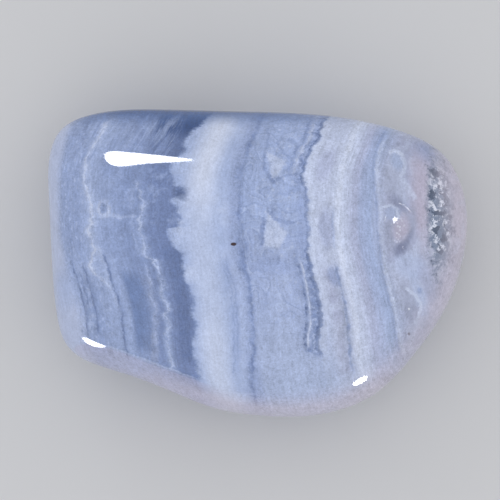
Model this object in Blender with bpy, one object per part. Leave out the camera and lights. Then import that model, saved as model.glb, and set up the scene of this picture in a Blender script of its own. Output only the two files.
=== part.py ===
"""A tumbled pebble of banded chalcedony, lying on the flat spot worn under it.

Metres, +Z up. X runs along the pebble and Y across it. The origin is on the surface that the pebble
rests on, under the middle of its outline. The stone is one piece: a smooth closed outline drawn in to
rings, low and full like a pillow, with a worn facet along one side and a flat spot underneath.
"""

import math

import bmesh
import bpy
import numpy as np

MM = 0.001

# Driving sizes, in metres.
LENGTH = 28.0 * MM
HEIGHT = 11.4 * MM
GIRDLE_HEIGHT = 4.9 * MM

# The outline seen from above, in millimetres for a pebble 28 mm long, anticlockwise from the right end.
OUTLINE_LENGTH = 28.0
OUTLINE = [
    (13.95, 2.15),
    (13.60, 5.20),
    (12.45, 7.20),
    (10.40, 8.50),
    (7.45, 9.40),
    (3.70, 9.95),
    (-1.40, 10.15),
    (-6.40, 10.28),
    (-9.60, 10.20),
    (-12.25, 9.55),
    (-13.45, 8.50),
    (-13.98, 6.70),
    (-13.95, 4.05),
    (-13.72, -0.75),
    (-13.40, -3.80),
    (-12.85, -5.40),
    (-11.45, -6.50),
    (-8.80, -7.42),
    (-5.75, -8.58),
    (-3.00, -9.65),
    (-0.05, -10.15),
    (3.10, -10.22),
    (6.00, -9.62),
    (8.30, -8.35),
    (10.40, -6.10),
    (12.70, -2.60),
]

# The point that the rings close in on, in the outline's own millimetres, and the half length and half
# width of the oval that they turn into on the way.
HEART = (-0.4, 0.7)
INNER_OVAL = (13.2, 9.9)

# How full the pebble is. A higher power keeps the top flat for longer and turns the edge more sharply.
TOP_FULLNESS = 2.9
TOP_FULLNESS_SWING = 0.5
SHARPEST_BEARING = math.radians(215)
UNDERSIDE_FULLNESS = 2.5
DOME_POWER = 2.1

# The flat spot underneath, as a share of the outline.
REST_SHARE = 0.36

# Facets worn on the stone: the bearing and the rise of each one's normal in degrees, how far it lies
# from the pebble's middle in metres, and how softly its edge is rounded over, in metres.
FACETS = [
    (250.0, 24.0, 9.62 * MM, 0.06 * MM),
    (92.0, 38.0, 9.12 * MM, 0.30 * MM),
    (205.0, -38.0, 11.00 * MM, 0.25 * MM),
    (20.0, -42.0, 11.15 * MM, 0.30 * MM),
]

# Low swells left by uneven wear on the top: height in metres, then waves along X and along Y in
# radians a metre, and phase.
SWELLS = [
    (0.10 * MM, 260.0, 120.0, 0.6),
    (0.07 * MM, -180.0, 420.0, 2.1),
    (0.05 * MM, 520.0, -260.0, 4.0),
]

# Mesh fineness.
COLUMNS = 96
LOWER_RINGS = 11
UPPER_RINGS = 16

STONE_COLOUR = (0.42, 0.49, 0.71, 1.0)
STONE_ROUGHNESS = 0.07
STONE_REFRACTION = 1.54


def closed_curve(points, count):
    """Evenly spaced points on the smooth closed curve through the given ones, a periodic cubic spline."""
    knots = np.array(points, dtype=float)
    ahead = np.roll(knots, -1, axis=0)
    spans = np.sqrt(np.linalg.norm(ahead - knots, axis=1))
    spans_before = np.roll(spans, 1)
    size = len(knots)
    system = np.zeros((size, size))
    row = np.arange(size)
    system[row, row] = 2.0 * (spans_before + spans)
    system[row, row - 1] = spans
    system[row, (row + 1) % size] = spans_before
    slopes = (ahead - knots) / spans[:, None]
    slopes_before = np.roll(slopes, 1, axis=0)
    right_side = 3.0 * (spans[:, None] * slopes_before + spans_before[:, None] * slopes)
    tangents = np.linalg.solve(system, right_side)
    tangents_ahead = np.roll(tangents, -1, axis=0)
    fine = 40
    t = (np.arange(fine) / fine)[None, :, None]
    start = knots[:, None]
    end = ahead[:, None]
    lean_out = (spans[:, None] * tangents)[:, None]
    lean_in = (spans[:, None] * tangents_ahead)[:, None]
    curve = (
        (2 * t**3 - 3 * t**2 + 1) * start
        + (t**3 - 2 * t**2 + t) * lean_out
        + (3 * t**2 - 2 * t**3) * end
        + (t**3 - t**2) * lean_in
    ).reshape(-1, 2)
    closed = np.vstack([curve, curve[:1]])
    along = np.concatenate([[0.0], np.cumsum(np.linalg.norm(np.diff(closed, axis=0), axis=1))])
    wanted = np.arange(count) / count * along[-1]
    return np.stack([np.interp(wanted, along, closed[:, axis]) for axis in (0, 1)], axis=1)


def ring_angles():
    """The rings' places round the section, from the flat spot (-1) by the girdle (0) to the top (1)."""
    lower = -np.cos(np.linspace(0.0, math.pi / 2, LOWER_RINGS + 1))[:-1]
    upper = np.sin(np.linspace(0.0, math.pi / 2, UPPER_RINGS + 1))[:-1]
    return np.concatenate([lower, upper])


def wear_facets(places):
    """Each facet is a plane: what stands proud of it is drawn back onto it, softly at its edge."""
    middle = np.array([0.0, 0.0, GIRDLE_HEIGHT])
    for bearing, rise, reach, softness in FACETS:
        bearing = math.radians(bearing)
        rise = math.radians(rise)
        normal = np.array(
            [
                math.cos(rise) * math.cos(bearing),
                math.cos(rise) * math.sin(bearing),
                math.sin(rise),
            ]
        )
        proud = (places - middle) @ normal - reach
        drawn_back = softness * np.logaddexp(0.0, proud / softness)
        places = places - drawn_back[..., None] * normal
    return places


def pebble_surface(angles, columns):
    """The stone's skin: for each ring and each column, the outline drawn in to the heart by cos^(2/fullness)
    of the section angle, growing oval on the way, and raised by sin^(2/dome power), then swelled and worn."""
    outline = closed_curve(OUTLINE, columns) * (LENGTH / OUTLINE_LENGTH)
    heart = np.array(HEART) * (LENGTH / OUTLINE_LENGTH)
    spokes = outline - heart
    bearing = np.arctan2(spokes[:, 1], spokes[:, 0])
    top_fullness = TOP_FULLNESS + TOP_FULLNESS_SWING * np.cos(bearing - SHARPEST_BEARING)
    share = np.abs(angles)[:, None]
    above = angles[:, None] >= 0.0
    fullness = np.where(above, top_fullness[None, :], UNDERSIDE_FULLNESS)
    rest_turn = np.arccos(REST_SHARE ** (fullness / 2.0))
    turn = np.where(above, share * math.pi / 2, share * rest_turn)
    drawn_in = np.cos(turn) ** (2.0 / fullness)
    top_rise = (HEIGHT - GIRDLE_HEIGHT) * np.sin(turn) ** (2.0 / DOME_POWER)
    under_drop = GIRDLE_HEIGHT * (np.sin(turn) / np.sin(rest_turn)) ** (2.0 / DOME_POWER)
    height = GIRDLE_HEIGHT + np.where(above, top_rise, -under_drop)
    half_length, half_width = np.array(INNER_OVAL) * (LENGTH / OUTLINE_LENGTH)
    oval = 1.0 / np.hypot(np.cos(bearing) / half_length, np.sin(bearing) / half_width)
    to_oval = (oval / np.linalg.norm(spokes, axis=1))[None, :, None]
    still_outline = drawn_in[..., None] ** 2
    flat = heart + drawn_in[..., None] * spokes[None] * (still_outline + (1.0 - still_outline) * to_oval)
    x = flat[..., 0]
    y = flat[..., 1]
    on_top = np.where(above, np.sin(turn) ** 2, 0.0)
    for swell, wave_x, wave_y, phase in SWELLS:
        height = height + on_top * swell * np.sin(wave_x * x + wave_y * y + phase)
    return wear_facets(np.stack([x, y, height], axis=-1))


def build_pebble():
    """Loft the rings with quads, close the flat spot with one face and the top with a fan."""
    angles = ring_angles()
    rings = pebble_surface(angles, COLUMNS)
    rings[0, :, 2] = rings[0, :, 2].min()
    crown = pebble_surface(np.array([1.0]), COLUMNS)[0].mean(axis=0)
    low = rings.reshape(-1, 3).min(axis=0)
    high = rings.reshape(-1, 3).max(axis=0)
    stand = np.array([(low[0] + high[0]) / 2, (low[1] + high[1]) / 2, low[2]])
    rings = rings - stand
    crown = crown - stand

    bm = bmesh.new()
    loops = [[bm.verts.new(place) for place in ring] for ring in rings]
    top = bm.verts.new(crown)
    bm.faces.new(reversed(loops[0]))
    for lower, upper in zip(loops, loops[1:]):
        for column in range(COLUMNS):
            following = (column + 1) % COLUMNS
            bm.faces.new((lower[column], lower[following], upper[following], upper[column]))
    for column in range(COLUMNS):
        bm.faces.new((loops[-1][column], loops[-1][(column + 1) % COLUMNS], top))
    mesh = bpy.data.meshes.new("chalcedony_pebble")
    bm.to_mesh(mesh)
    bm.free()
    mesh.shade_smooth()
    mesh.set_sharp_from_angle(angle=math.radians(40))
    pebble = bpy.data.objects.new("chalcedony_pebble", mesh)
    bpy.context.scene.collection.objects.link(pebble)
    return pebble


def polished_chalcedony():
    """The stone's mean colour, pale slate blue, under a tumbled polish."""
    material = bpy.data.materials.new("polished_chalcedony")
    material.use_nodes = True
    shader = material.node_tree.nodes["Principled BSDF"]
    shader.inputs["Base Color"].default_value = STONE_COLOUR
    shader.inputs["Roughness"].default_value = STONE_ROUGHNESS
    shader.inputs["Metallic"].default_value = 0.0
    shader.inputs["IOR"].default_value = STONE_REFRACTION
    return material


for old in list(bpy.data.objects):
    bpy.data.objects.remove(old, do_unlink=True)
stone = build_pebble()
stone.data.materials.append(polished_chalcedony())
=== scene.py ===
"""A tumbled and polished pebble of banded blue chalcedony, dressed for its picture.

The stone is one closed skin of the same form as the model that it replaces, only finer. Its colour
is worked out through the whole stone: every point has a place across the layers, and the bands, lace
lines, milky windows and the crystal seam are written against that place, so they run on round the
sides and underneath. Lengths in the patterns are millimetres; lengths in the scene are metres.
"""

import math

import bpy
import numpy as np
from mathutils import Matrix, Vector


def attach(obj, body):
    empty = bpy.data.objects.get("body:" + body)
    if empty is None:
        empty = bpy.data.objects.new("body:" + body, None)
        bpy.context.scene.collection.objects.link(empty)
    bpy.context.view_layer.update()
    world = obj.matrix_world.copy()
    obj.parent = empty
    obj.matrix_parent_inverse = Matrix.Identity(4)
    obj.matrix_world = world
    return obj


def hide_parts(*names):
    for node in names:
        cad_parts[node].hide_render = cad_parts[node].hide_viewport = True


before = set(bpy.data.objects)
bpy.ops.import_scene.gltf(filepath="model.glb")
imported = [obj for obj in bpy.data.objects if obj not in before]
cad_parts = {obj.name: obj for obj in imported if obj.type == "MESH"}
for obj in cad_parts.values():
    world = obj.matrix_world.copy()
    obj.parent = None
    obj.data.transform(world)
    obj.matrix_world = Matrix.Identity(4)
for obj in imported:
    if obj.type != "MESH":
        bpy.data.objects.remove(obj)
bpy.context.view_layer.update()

MM = 0.001

# The pebble's form: the same driving sizes as the model's.
LENGTH = 28.0 * MM
HEIGHT = 11.4 * MM
GIRDLE_HEIGHT = 4.9 * MM
OUTLINE_LENGTH = 28.0
OUTLINE = [
    (13.95, 2.15), (13.6, 5.2), (12.45, 7.2), (10.4, 8.5), (7.45, 9.4), (3.7, 9.95),
    (-1.4, 10.15), (-6.4, 10.28), (-9.6, 10.2), (-12.25, 9.55), (-13.45, 8.5),
    (-13.98, 6.7), (-13.95, 4.05), (-13.72, -0.75), (-13.4, -3.8), (-12.85, -5.4),
    (-11.45, -6.5), (-8.8, -7.42), (-5.75, -8.58), (-3.0, -9.65), (-0.05, -10.15),
    (3.1, -10.22), (6.0, -9.62), (8.3, -8.35), (10.4, -6.1), (12.7, -2.6),
]

# The outline is drawn in to its heart through an oval. Fullness and dome power make the section squarer,
# and the rest share is what the flat spot underneath keeps of the outline.
HEART = (-0.4, 0.7)
INNER_OVAL = (13.2, 9.9)
TOP_FULLNESS = 2.9
TOP_FULLNESS_SWING = 0.5
SHARPEST_BEARING = math.radians(215)
UNDERSIDE_FULLNESS = 2.5
DOME_POWER = 2.1
REST_SHARE = 0.36

# The worn facets: bearing and rise of the plane's normal in degrees, its distance from the middle, and
# the softness of its rim; and the low swells of the top: height, waves east and north, and phase.
FACETS = [
    (250.0, 24.0, 9.62 * MM, 0.06 * MM),
    (92.0, 38.0, 9.12 * MM, 0.3 * MM),
    (205.0, -38.0, 11.0 * MM, 0.25 * MM),
    (20.0, -42.0, 11.15 * MM, 0.3 * MM),
]
SWELLS = [
    (0.1 * MM, 260.0, 120.0, 0.6),
    (0.07 * MM, -180.0, 420.0, 2.1),
    (0.05 * MM, 520.0, -260.0, 4.0),
]

# Gentle shoulders just inside the lower rim: place east and north, bearing of the long way in degrees,
# then spread along and across that way and height, in millimetres; and between which heights they fade.
SHOULDERS = [
    (-11.17, -5.94, -18.0, 1.9, 0.6, 0.3),
    (7.08, -8.3, 27.6, 1.6, 0.55, 0.2),
]
SHOULDER_FOOT = (3.4, 5.4)

# The small crystal hollow of the right end: place east and north, half width, half length and depth in
# millimetres; the shares of that oval between which its wall slopes; and the height and the waves to
# the millimetre of the crystals on its floor.
HOLLOW = (9.34, 2.34, 0.78, 1.4, 0.07)
HOLLOW_RIM = (0.76, 1.22)
CRYSTAL_HEIGHT = 0.008
CRYSTAL_WAVES = [(17.0, 5.0), (-6.0, 15.0), (11.0, -13.0)]

# The skin's fineness, and the corner sharper than which it is shaded as an edge.
COLUMNS = 400
LOWER_RINGS = 62
UPPER_RINGS = 178
SHARP_RIM = math.radians(40)

# The colours of the layers, as linear red, green and blue.
LILAC_RIM = (0.45, 0.512, 0.71)
SLATE_MIST = (0.255, 0.33, 0.555)
CLOUD_BLUE = (0.305, 0.383, 0.61)
SLATE = (0.215, 0.285, 0.5)
DEEP_SLATE = (0.16, 0.222, 0.425)
INK_SLATE = (0.08, 0.128, 0.285)
# Painted shade of the stone's top edge, not the colour of a layer.
TOP_EDGE_SHADE = (0.025, 0.072, 0.225)
STEEL_BLUE = (0.145, 0.215, 0.42)
WARM_GREY = (0.285, 0.345, 0.54)
MILKY_BLUE = (0.345, 0.432, 0.68)
MILK = (0.44, 0.525, 0.76)
PERIWINKLE = (0.332, 0.408, 0.642)
PALE_PERIWINKLE = (0.378, 0.453, 0.678)
DUSK = (0.265, 0.34, 0.575)
FROST = (0.5, 0.558, 0.742)
PALE_ASH = (0.405, 0.48, 0.69)
SNOW = (0.56, 0.625, 0.81)
WHITE = (0.72, 0.76, 0.88)
ASH_LAVENDER = (0.43, 0.475, 0.675)
ASH_MAUVE = (0.375, 0.425, 0.62)
MIST_BLUE = (0.35, 0.425, 0.63)
MAUVE = (0.385, 0.42, 0.59)
MAUVE_GREY = (0.3, 0.33, 0.46)
DUSKY_MAUVE = (0.19, 0.215, 0.345)
# Also the painted light that shows through the lower and right rim.
SHELL_PINK = (0.525, 0.49, 0.59)
ROSE_ASH = (0.45, 0.455, 0.62)
TEAL_GREY = (0.16, 0.215, 0.325)
DEEP_TEAL = (0.045, 0.078, 0.145)
BLUSH = (0.5, 0.445, 0.56)
# Painted shade of the top rim, not the colour of a layer.
TOP_RIM_SHADE = (0.062, 0.13, 0.325)
RUST = (0.03, 0.008, 0.012)

# Where each ground colour lies across the layers, in millimetres from the stone's middle.
GROUND = [
    (-16.5, LILAC_RIM), (-14.4, LILAC_RIM), (-13.8, CLOUD_BLUE), (-12.6, SLATE_MIST),
    (-11.8, CLOUD_BLUE), (-11.2, CLOUD_BLUE), (-10.6, SLATE_MIST), (-9.6, SLATE_MIST),
    (-8.9, SLATE), (-7.9, SLATE), (-7.2, DEEP_SLATE), (-5.5, DEEP_SLATE), (-5.15, MILKY_BLUE),
    (-4.4, MILK), (-3.3, MILK), (-2.5, MILKY_BLUE), (-1.8, PERIWINKLE), (-0.6, PERIWINKLE),
    (0.9, PALE_PERIWINKLE), (2.1, PERIWINKLE), (3.1, PERIWINKLE), (3.22, SNOW), (3.7, FROST),
    (4.7, FROST), (5.2, SNOW), (5.7, FROST), (6.2, ASH_LAVENDER), (7.1, MIST_BLUE), (8.2, MAUVE),
    (10.0, MAUVE), (12.5, SHELL_PINK),
]
GROUND_WIDTH = GROUND[-1][0] - GROUND[0][0]

# The run of the lines that stray from their layer, as pairs of north and place across, in millimetres.
WAVY_LACE = [
    (9.8, -11.2), (8.2, -11.7), (7.2, -12.0), (5.8, -12.0), (4.6, -11.66), (2.9, -11.4),
    (2.0, -11.68), (1.1, -11.48), (0.3, -11.95), (-0.5, -12.15), (-0.9, -11.7), (-1.4, -11.2),
]
CRINKLED_LACE = [
    (4.9, -8.15), (4.0, -7.75), (3.0, -7.84), (2.2, -7.96), (1.3, -7.84), (0.6, -8.12),
    (0.15, -7.45), (-0.6, -7.42), (-1.3, -7.44), (-1.9, -7.73), (-3.0, -7.57), (-3.4, -7.92),
    (-4.1, -7.76), (-4.8, -7.95), (-6.6, -7.82),
]
SHORE = [
    (10.1, -4.4), (9.8, -4.6), (9.5, -4.95), (9.0, -5.4), (8.1, -5.75), (7.4, -5.6),
    (6.3, -6.2), (5.8, -5.77), (5.1, -5.45), (4.6, -5.0), (4.15, -5.9), (3.6, -5.3),
    (2.5, -5.2), (2.2, -6.2), (1.7, -6.15), (1.0, -5.85), (0.3, -5.2), (-0.6, -5.38),
    (-1.7, -5.0), (-2.5, -4.82), (-3.3, -5.08), (-4.2, -4.84), (-5.5, -5.3), (-6.8, -5.16),
]
BLUE_LINE = [
    (10.0, -1.2), (8.7, -1.15), (7.9, -1.3), (5.8, -1.2), (4.2, -1.12), (2.8, -1.09),
    (1.2, -1.13), (-0.2, -1.33), (-1.1, -1.1), (-3.5, -1.17), (-5.7, -1.28), (-6.8, -1.45),
    (-8.5, -1.73),
]
SHARP_EDGE = [
    (9.6, 3.01), (8.3, 3.11), (7.6, 2.9), (6.3, 2.79), (5.6, 2.86), (4.6, 3.19), (3.6, 3.24),
    (2.4, 3.38), (1.4, 3.2), (0.3, 3.19), (-0.3, 3.29), (-3.9, 3.24), (-5.2, 3.02), (-5.9, 3.15),
]
RIGHT_LINE = [
    (8.5, 6.95), (7.6, 6.91), (6.7, 7.04), (5.0, 7.33), (3.3, 7.6), (1.7, 7.61), (-0.4, 7.43),
    (-2.0, 7.34), (-5.6, 7.4),
]
LONG_OVAL_RUN = [(0.0, 4.35), (-3.0, 4.3), (-6.8, 4.36)]
GREY_BAND = [
    (0.5, -8.05), (-2.1, -8.33), (-3.2, -8.43), (-4.6, -8.72), (-6.6, -9.05),
]

# The lace lines, each list in the order of laying. A row is the place across, or the distance right of
# the run that the line follows, then width, southern and northern end, wobble, crimp, fade, strength
# and colour.
WAVY_LINES = [
    (0.15, 0.6, -1.2, 9.5, 0.1, 0.3, 0.6, 0.5, MILK),
    (0.0, 0.15, -1.2, 9.6, 0.1, 0.34, 0.6, 0.88, SNOW),
]
HAIR_LINES = [
    (-13.56, 0.115, -5.2, -0.2, 0.08, 0.14, 0.6, 0.75, INK_SLATE),
    (-13.18, 0.115, -3.6, -0.8, 0.08, 0.14, 0.6, 0.55, INK_SLATE),
    (-12.74, 0.115, -4.4, -0.5, 0.08, 0.14, 0.6, 0.7, INK_SLATE),
    (-10.52, 0.36, -6.0, 0.2, 0.15, 0.35, 0.6, 0.8, MILKY_BLUE),
    (-11.12, 0.14, -2.6, 0.6, 0.15, 0.35, 0.6, 0.6, MILK),
    (-10.9, 0.115, -6.2, 0.3, 0.1, 0.22, 0.6, 0.7, INK_SLATE),
]
GREY_LINES = [
    (0.0, 0.4, -6.6, -1.6, 0.1, 0.2, 1.6, 0.95, WARM_GREY),
    (0.45, 0.22, -6.0, -1.0, 0.1, 0.2, 1.5, 0.6, DEEP_SLATE),
]
UPPER_WHISKER = (-8.45, 0.16, 0.8, 4.6, 0.2, 0.35, 0.6, 0.55, MILKY_BLUE)
CRINKLED_LINES = [
    (0.22, 0.45, -6.7, 3.8, 0.12, 0.4, 0.6, 0.35, CLOUD_BLUE),
    (0.0, 0.125, -6.7, 5.0, 0.12, 0.45, 0.6, 1.05, MILK),
    (-0.8, 0.1, -5.2, -0.5, 0.1, 0.25, 0.8, 0.45, MILK),
    (-0.42, 0.3, -6.0, -1.5, 0.1, 0.25, 1.5, 0.55, DEEP_SLATE),
    (0.06, 0.11, -6.7, 1.0, -0.2, -0.4, 0.6, 0.45, MILK),
]
UPPER_BLUE_LINES = [
    (0.0, 0.42, 0.2, 10.2, 0.15, 0.4, 1.5, 0.95, SLATE),
    (0.05, 0.16, 0.8, 10.2, 0.15, 0.5, 1.5, 0.75, DEEP_SLATE),
]
LOWER_BLUE_LINES = [
    (-0.55, 0.36, -9.0, 1.0, 0.08, 0.08, 0.6, 0.6, MILK),
    (-0.95, 0.09, -6.0, 0.0, 0.1, 0.2, 1.2, 0.6, SLATE),
    (-1.2, 0.08, -7.0, -1.0, 0.1, 0.2, 1.2, 0.55, SLATE),
    (0.0, 0.24, -8.5, 0.8, 0.05, 0.3, 1.2, 0.8, SLATE),
    (0.08, 0.12, -8.8, 0.0, 0.05, 0.3, 1.2, 0.9, DEEP_SLATE),
    (0.4, 0.14, -6.0, 0.0, 0.05, 0.2, 1.2, 0.45, MILK),
]
UPPER_DARK_LACE = (-0.1, 0.16, 6.2, 10.0, 0.05, 0.3, 0.6, 0.7, DEEP_SLATE)
UPPER_PALE_LACE = (0.22, 0.13, 6.2, 10.0, 0.05, 0.3, 0.6, 0.6, SNOW)
LOWER_DARK_LACE = (0.0, 0.16, -6.2, 0.8, 0.02, 0.16, 0.6, 0.8, INK_SLATE)
LOWER_PALE_LACE = (0.2, 0.09, -5.2, 0.6, 0.02, 0.04, 0.6, 0.85, SNOW)
OVAL_EDGE = (4.85, 0.12, 1.3, 3.4, 0.05, 0.1, 0.5, 0.7, DUSK)
LONG_OVAL = (0.0, 0.58, -6.8, -0.9, 0.1, 0.2, 1.2, 1.0, MAUVE)
SHEET_LINES = [
    (4.72, 0.15, -6.8, -0.5, 0.06, 0.12, 0.8, 0.9, SLATE),
    (6.05, 0.26, -6.0, 9.0, 0.06, 0.06, 1.5, 0.4, MAUVE),
    (5.15, 0.3, -6.5, 9.0, 0.1, 0.06, 1.5, 0.3, WHITE),
]
RIGHT_LINES = [
    (0.0, 0.12, -5.6, 8.6, 0.04, 0.1, 0.6, 0.75, SLATE),
    (0.24, 0.17, -5.8, 7.8, 0.06, 0.2, 0.6, 0.7, SNOW),
]

# The three-cornered windows of the middle and their dark outlines: corners in millimetres east and
# north, and for an outline its half width and strength.
WINDOWS = [
    [(0.6, 7.35), (0.95, 5.6), (1.35, 5.75), (1.85, 6.75)],
    [(0.62, 3.3), (0.42, 1.1), (1.4, 0.95), (1.98, 2.0)],
]
WINDOW_OUTLINES = [
    ([(0.69, 8.9), (0.69, 7.9), (0.42, 6.9), (0.4, 6.3)], 0.12, 0.45),
    ([(0.4, 6.3), (0.62, 5.94), (0.98, 5.35)], 0.18, 0.75),
    ([(1.25, 5.5), (1.85, 5.75), (2.6, 5.9)], 0.11, 0.4),
    ([(1.35, 8.0), (1.67, 7.34), (2.13, 6.94)], 0.11, 0.45),
    ([(0.35, 2.9), (0.27, 2.0), (0.29, 1.3)], 0.2, 0.7),
    ([(0.66, 3.4), (1.14, 2.95), (1.8, 2.68), (2.32, 2.71)], 0.15, 0.65),
]

# The soft spots, each list in the order of laying. A row is the place east and north, half width and
# half length in millimetres, lean, softness, strength and colour. The ovals are placed across instead
# of east, and a row without the last two is only a shape.
LOW_CORNER = (-12.3, -1.2, 1.0, 1.6, 0.3, 0.7, 0.55, MILKY_BLUE)
SHORE_NICK = (-4.95, 4.6, 0.4, 0.45, 0.0, 0.5, 0.7, INK_SLATE)
SLATE_CLOUDS = [
    (-9.93, 5.3, 0.5, 0.45, 0.0, 0.7, 0.5, MILKY_BLUE),
    (-9.31, 8.6, 0.5, 0.4, 0.0, 0.7, 0.5, MILKY_BLUE),
    (-10.05, 3.55, 0.75, 0.95, 0.0, 0.6, 0.45, MILKY_BLUE),
]
SLATE_RING = (-10.12, 3.6, 0.36, 0.5, 0.0, 0.55)
RING_EYE = (-10.2, 3.6, 0.17, 0.3, 0.0, 0.6, 0.5, SLATE)
RUST_SPECK = (-1.58, 1.25, 0.19, 0.11, 0.0, 0.25, 1.0, RUST)
DUSKY_PATCH = (0.95, -0.1, 1.15, 0.65, -0.2, 0.6, 0.6, DUSK)
TINY_RING = (1.43, -2.87, 0.22, 0.22, 0.0, 0.5)
OVALS = [
    (4.05, 6.5, 0.52, 1.05, 0.0, 0.4, 0.75, ASH_LAVENDER),
    (4.42, 2.3, 0.46, 1.3, 0.0, 0.35, 0.85, ASH_MAUVE),
]
LONG_OVAL_END = (4.45, -0.85, 0.35, 0.6, 0.0, 0.5, 0.6, DUSK)
# Where the crystals of the hollow are given painted glints; only a shape.
HOLLOW_GLINTS = (9.3, 2.15, 0.4, 0.8, 0.1, 0.4)
GLINT_AND_RUST_SPECKS = [
    # A painted glint at a tiny pit, then a rust speck.
    (10.01, -3.02, 0.07, 0.07, 0.0, 0.5, 1.0, WHITE),
    (10.03, -4.69, 0.09, 0.09, 0.0, 0.5, 0.7, RUST),
]
SEAM = (12.1, 3.2, 0.84, 4.1, -0.02, 0.4)
RIGHT_END_SPOTS = [
    (8.6, 5.3, 0.6, 1.15, -0.15, 0.7, 0.5, MAUVE_GREY),
    (10.9, 4.4, 0.75, 2.9, -0.05, 0.6, 0.65, BLUSH),
    (9.2, 6.8, 0.42, 0.62, -0.2, 0.5, 0.8, MIST_BLUE),
    (11.6, 7.4, 0.85, 0.8, -0.6, 0.8, 0.65, SLATE),
    (9.95, -0.15, 1.0, 0.85, -0.3, 0.4, 0.45, MILK),
    (10.75, -2.3, 0.4, 1.5, -0.35, 0.5, 0.45, MILK),
    (8.7, 1.9, 0.5, 0.95, 0.05, 0.7, 0.6, MAUVE_GREY),
    (10.15, 2.6, 0.3, 1.0, 0.1, 0.7, 0.65, MAUVE_GREY),
    (9.45, 2.3, 0.5, 0.85, 0.1, 0.6, 0.6, BLUSH),
    (9.25, 4.0, 0.38, 0.55, -0.5, 0.7, 0.65, DUSKY_MAUVE),
    (8.9, 3.3, 0.48, 0.48, 0.0, 0.4, 0.6, MIST_BLUE),
    (9.4, 0.95, 0.38, 0.45, 0.3, 0.7, 0.9, DUSKY_MAUVE),
    (9.95, 1.6, 0.2, 0.5, 0.5, 0.8, 0.55, DUSKY_MAUVE),
    (10.0, -2.6, 0.55, 1.3, -0.25, 0.5, 0.55, MAUVE_GREY),
    (10.7, -1.8, 0.16, 0.22, 0.0, 0.7, 0.6, SLATE),
]

# The pale traces that wind through the right end: corners in millimetres east and north, half width
# and strength.
PALE_TRACES = [
    ([(8.78, 7.35), (9.05, 7.48), (9.52, 7.22), (9.71, 6.68), (9.71, 6.08), (9.38, 5.75)], 0.19, 1.0),
    ([(9.6, 5.5), (9.98, 5.0), (10.38, 4.35)], 0.26, 0.7),
    ([(8.35, 3.75), (8.8, 3.85), (9.15, 3.55), (9.3, 2.95)], 0.14, 0.8),
    ([(9.84, -1.66), (10.38, -2.13), (10.85, -2.66), (10.71, -3.33), (10.51, -3.93)], 0.16, 0.85),
]

# How the layers lie in the stone, in millimetres.
CROWN = HEIGHT / MM
LAYER_LEAN = 0.24
BEND_NORTH = 3.0
BEND_SOUTH = -4.2

# What each node group takes.
LINE_INPUTS = [
    "Across", "Along", "Wobble", "Crimp", "Ruffle", "Wear", "At", "Wobble By", "Crimp By",
    "Ruffle By", "Width", "From", "To", "Fade",
]
WINDOW_INPUTS = [
    "East", "North", "Ragged", "Centre East", "Centre North", "Half Width", "Half Length",
    "Lean", "Soft",
]
SIDE_INPUTS = ["East", "North", "From East", "From North", "To East", "To North", "Width"]

# No stretching of a noise: its swings are as long each way.
EVEN = (1.0, 1.0, 1.0)

# The places across where the shore and the crisp step would lie if they ran straight.
STRAIGHT_SHORE = -5.3
STRAIGHT_STEP = 3.17

# The finishes and the light that is the same from all round.
POLISH_ROUGHNESS = 0.05
CHALCEDONY_IOR = 1.54
FLOOR_HALF_WIDTH = 6.0
FLOOR_GREY = (0.62, 0.62, 0.63)
FLOOR_ROUGHNESS = 0.9
SKY_COLOUR = (0.97, 0.98, 1.0)
SKY_STRENGTH = 0.95


def facing(bearing, rise):
    """The unit vector that points so many degrees round from east and so many degrees up."""
    bearing = math.radians(bearing)
    rise = math.radians(rise)
    return math.cos(rise) * math.cos(bearing), math.cos(rise) * math.sin(bearing), math.sin(rise)


def closed_curve(points, count):
    """Evenly spaced points on a closed periodic cubic spline: between two knots each coordinate is the
    Hermite cubic of the knots and of tangents that make its bending run on through every knot."""
    knots = np.array(points, dtype=float)
    ahead = np.roll(knots, -1, axis=0)
    spans = np.sqrt(np.linalg.norm(ahead - knots, axis=1))
    spans_before = np.roll(spans, 1)
    size = len(knots)
    system = np.zeros((size, size))
    row = np.arange(size)
    system[row, row] = 2.0 * (spans_before + spans)
    system[row, row - 1] = spans
    system[row, (row + 1) % size] = spans_before
    slopes = (ahead - knots) / spans[:, None]
    slopes_before = np.roll(slopes, 1, axis=0)
    right_side = 3.0 * (spans[:, None] * slopes_before + spans_before[:, None] * slopes)
    tangents = np.linalg.solve(system, right_side)
    tangents_ahead = np.roll(tangents, -1, axis=0)
    fine = 40
    t = (np.arange(fine) / fine)[None, :, None]
    lean_out = (spans[:, None] * tangents)[:, None]
    lean_in = (spans[:, None] * tangents_ahead)[:, None]
    curve = (
        (2 * t**3 - 3 * t**2 + 1) * knots[:, None]
        + (t**3 - 2 * t**2 + t) * lean_out
        + (3 * t**2 - 2 * t**3) * ahead[:, None]
        + (t**3 - t**2) * lean_in
    ).reshape(-1, 2)
    closed = np.vstack([curve, curve[:1]])
    along = np.concatenate([[0.0], np.cumsum(np.linalg.norm(np.diff(closed, axis=0), axis=1))])
    wanted = np.arange(count) / count * along[-1]
    return np.stack([np.interp(wanted, along, closed[:, axis]) for axis in (0, 1)], axis=1)


def wear_facets(places):
    """A facet is a plane: each point is drawn back along the plane's normal by the softened excess
    softness * log(1 + exp(proud / softness)), where proud is how far it stands out of the plane."""
    middle = np.array([0.0, 0.0, GIRDLE_HEIGHT])
    for bearing, rise, reach, softness in FACETS:
        normal = np.array(facing(bearing, rise))
        proud = (places - middle) @ normal - reach
        drawn_back = softness * np.logaddexp(0.0, proud / softness)
        places = places - drawn_back[..., None] * normal
    return places


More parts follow.
